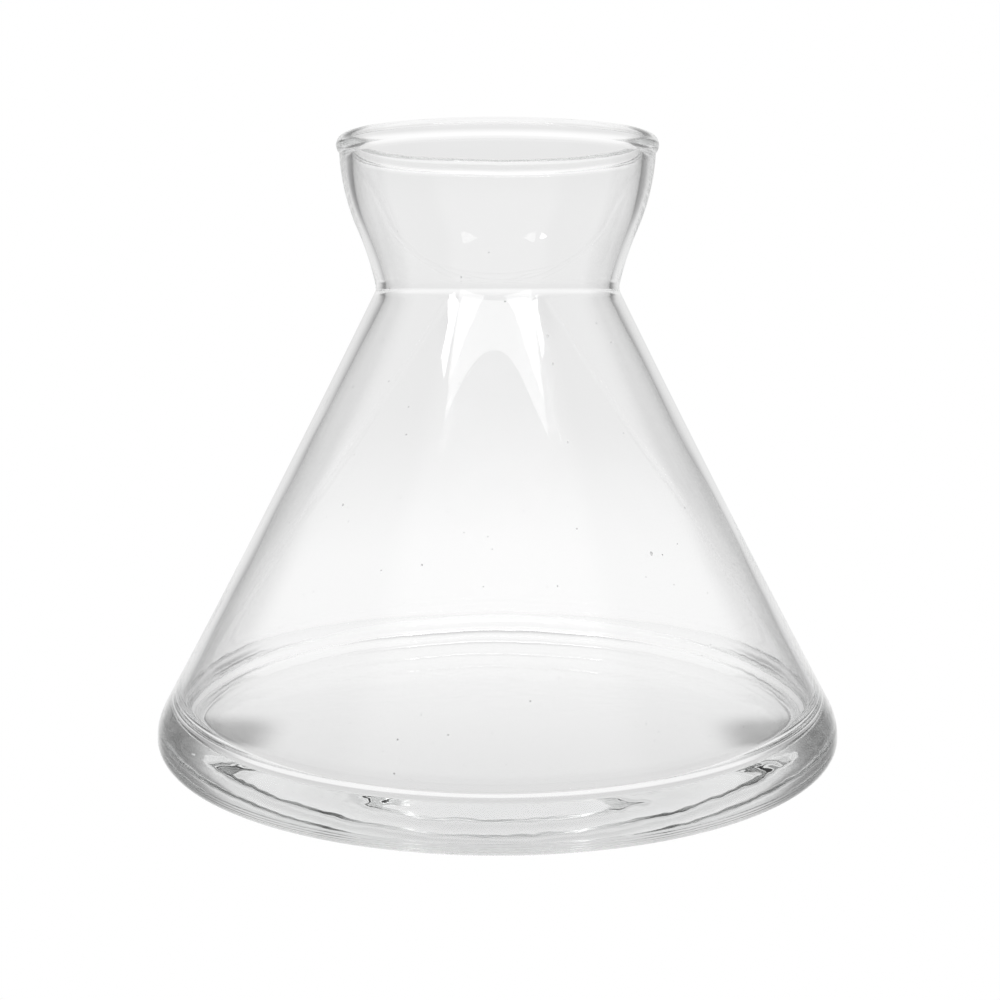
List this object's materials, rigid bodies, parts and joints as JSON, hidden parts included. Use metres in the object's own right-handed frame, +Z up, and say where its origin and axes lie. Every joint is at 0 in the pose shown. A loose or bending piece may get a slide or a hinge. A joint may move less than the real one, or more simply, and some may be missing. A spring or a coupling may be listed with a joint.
{
  "type": "conical glass vessel",
  "caption": "Clear glass vessel with a wide cone on a thick base, a pinched waist and a flared cup collar.",
  "frame": {"origin": "centre of the flat base, in the plane it stands on", "axes": "+Z up along the vessel's axis, from the base to the rim"},
  "size_m": [0.1398, 0.1398, 0.122],
  "materials": {
    "clear_glass": "gloss"
  },
  "bodies": {
    "root": {"glass_vessel": "clear_glass"}
  },
  "joints": []
}
